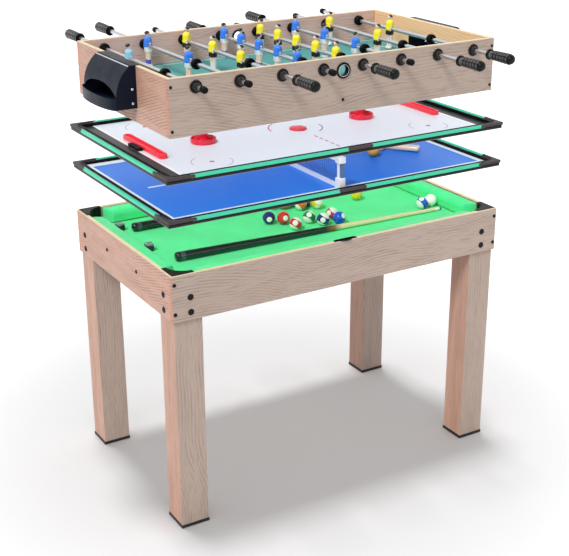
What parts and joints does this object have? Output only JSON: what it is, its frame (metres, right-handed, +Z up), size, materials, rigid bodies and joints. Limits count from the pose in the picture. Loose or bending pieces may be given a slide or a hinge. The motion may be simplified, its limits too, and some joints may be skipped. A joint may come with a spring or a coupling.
{
  "type": "multi game table",
  "caption": "Games table with a pool base on square legs and three loose layers held above it: table tennis, puck hockey, and a table football box with rods.",
  "frame": {"origin": "on the floor, under the middle of the box round the whole object", "axes": "+Z up, +X to the right along the long side, -Y towards the front, where the rods 3, 5, 7 and 8 have their grips"},
  "size_m": [1.1806, 1.1112, 1.272],
  "materials": {
    "oak_panel": "oak-look foil on fibreboard, matt",
    "green_bed": "board covered in green cloth",
    "green_cushion": "cloth-covered cushion",
    "pocket_black": "moulded, satin",
    "return_black": "moulded, satin",
    "cue_wood": "varnished, with a black butt",
    "ball_resin": "polished resin, mixed colours",
    "tennis_blue": "painted board with white lines",
    "hockey_white": "smooth painted board",
    "mint_rail": "mint green strip with black corners",
    "net_white": "moulded net and posts",
    "goal_red": "moulded",
    "pusher_red": "moulded",
    "pitch_green": "printed board with white lines",
    "rod_and_figures": "chromed tube carrying painted plastic figures",
    "grip_black": "moulded, ribbed",
    "ring_rubber": "matt"
  },
  "bodies": {
    "base": {"apron_front": "oak_panel", "apron_back": "oak_panel", "apron_left": "oak_panel", "apron_right": "oak_panel", "leg_front_left": "oak_panel", "leg_front_right": "oak_panel", "leg_back_left": "oak_panel", "leg_back_right": "oak_panel", "pool_bed": "green_bed", "cushion_front": "green_cushion", "cushion_back": "green_cushion", "cushion_left": "green_cushion", "cushion_right": "green_cushion", "pocket_front_left": "pocket_black", "pocket_front_right": "pocket_black", "pocket_back_left": "pocket_black", "pocket_back_right": "pocket_black", "cue_front": "cue_wood", "cue_back": "cue_wood", "racked_balls": "ball_resin"},
    "tennis_layer": {"tennis_board": "tennis_blue", "tennis_rail": "mint_rail", "tennis_net": "net_white"},
    "hockey_layer": {"hockey_board": "hockey_white", "hockey_rail": "mint_rail", "hockey_goal_left": "goal_red", "hockey_goal_right": "goal_red", "pusher_left": "pusher_red", "pusher_right": "pusher_red"},
    "football_box": {"box_panel_front": "oak_panel", "box_panel_back": "oak_panel", "box_panel_left": "oak_panel", "box_panel_right": "oak_panel", "football_pitch": "pitch_green", "ball_return_left": "return_black", "ball_return_right": "return_black"},
    "rod_slider_1": {"bumper_1": "ring_rubber"},
    "rod_group_1": {"rod_1": "rod_and_figures", "grip_1": "grip_black"},
    "rod_slider_2": {"bumper_2": "ring_rubber"},
    "rod_group_2": {"rod_2": "rod_and_figures", "grip_2": "grip_black"},
    "rod_slider_3": {"bumper_3": "ring_rubber"},
    "rod_group_3": {"rod_3": "rod_and_figures", "grip_3": "grip_black"},
    "rod_slider_4": {"bumper_4": "ring_rubber"},
    "rod_group_4": {"rod_4": "rod_and_figures", "grip_4": "grip_black"},
    "rod_slider_5": {"bumper_5": "ring_rubber"},
    "rod_group_5": {"rod_5": "rod_and_figures", "grip_5": "grip_black"},
    "rod_slider_6": {"bumper_6": "ring_rubber"},
    "rod_group_6": {"rod_6": "rod_and_figures", "grip_6": "grip_black"},
    "rod_slider_7": {"bumper_7": "ring_rubber"},
    "rod_group_7": {"rod_7": "rod_and_figures", "grip_7": "grip_black"},
    "rod_slider_8": {"bumper_8": "ring_rubber"},
    "rod_group_8": {"rod_8": "rod_and_figures", "grip_8": "grip_black"}
  },
  "joints": [
    {"name": "tennis_lift", "type": "slide", "parent": "base", "child": "tennis_layer", "axis": [0, 0, 1], "range_m": [-0.1279, 0]},
    {"name": "hockey_lift", "type": "slide", "parent": "tennis_layer", "child": "hockey_layer", "axis": [0, 0, 1], "range_m": [-0.0115, 0]},
    {"name": "football_lift", "type": "slide", "parent": "hockey_layer", "child": "football_box", "axis": [0, 0, 1], "range_m": [-0.1007, 0]},
    {"name": "rod_1_slide", "type": "slide", "parent": "football_box", "child": "rod_slider_1", "axis": [0, 1, 0], "range_m": [-0.1514, 0]},
    {"name": "rod_1_spin", "type": "hinge", "parent": "rod_slider_1", "child": "rod_group_1", "pos_m": [-0.434, -0.06787, 1.23], "axis": [0, 1, 0], "continuous": true},
    {"name": "rod_2_slide", "type": "slide", "parent": "football_box", "child": "rod_slider_2", "axis": [0, 1, 0], "range_m": [-0.2179, 0]},
    {"name": "rod_2_spin", "type": "hinge", "parent": "rod_slider_2", "child": "rod_group_2", "pos_m": [-0.31, -0.06787, 1.23], "axis": [0, 1, 0], "continuous": true},
    {"name": "rod_3_slide", "type": "slide", "parent": "football_box", "child": "rod_slider_3", "axis": [0, 1, 0], "range_m": [-0.1484, 0]},
    {"name": "rod_3_spin", "type": "hinge", "parent": "rod_slider_3", "child": "rod_group_3", "pos_m": [-0.186, -0.06787, 1.23], "axis": [0, 1, 0], "continuous": true},
    {"name": "rod_4_slide", "type": "slide", "parent": "football_box", "child": "rod_slider_4", "axis": [0, 1, 0], "range_m": [-0.083, 0]},
    {"name": "rod_4_spin", "type": "hinge", "parent": "rod_slider_4", "child": "rod_group_4", "pos_m": [-0.062, -0.06787, 1.23], "axis": [0, 1, 0], "continuous": true},
    {"name": "rod_5_slide", "type": "slide", "parent": "football_box", "child": "rod_slider_5", "axis": [0, 1, 0], "range_m": [-0.083, 0]},
    {"name": "rod_5_spin", "type": "hinge", "parent": "rod_slider_5", "child": "rod_group_5", "pos_m": [0.062, -0.06787, 1.23], "axis": [0, 1, 0], "continuous": true},
    {"name": "rod_6_slide", "type": "slide", "parent": "football_box", "child": "rod_slider_6", "axis": [0, 1, 0], "range_m": [-0.1502, 0]},
    {"name": "rod_6_spin", "type": "hinge", "parent": "rod_slider_6", "child": "rod_group_6", "pos_m": [0.186, -0.06787, 1.23], "axis": [0, 1, 0], "continuous": true},
    {"name": "rod_7_slide", "type": "slide", "parent": "football_box", "child": "rod_slider_7", "axis": [0, 1, 0], "range_m": [-0.1381, 0]},
    {"name": "rod_7_spin", "type": "hinge", "parent": "rod_slider_7", "child": "rod_group_7", "pos_m": [0.31, -0.06787, 1.23], "axis": [0, 1, 0], "continuous": true},
    {"name": "rod_8_slide", "type": "slide", "parent": "football_box", "child": "rod_slider_8", "axis": [0, 1, 0], "range_m": [-0.1692, 0]},
    {"name": "rod_8_spin", "type": "hinge", "parent": "rod_slider_8", "child": "rod_group_8", "pos_m": [0.434, -0.06787, 1.23], "axis": [0, 1, 0], "continuous": true}
  ]
}
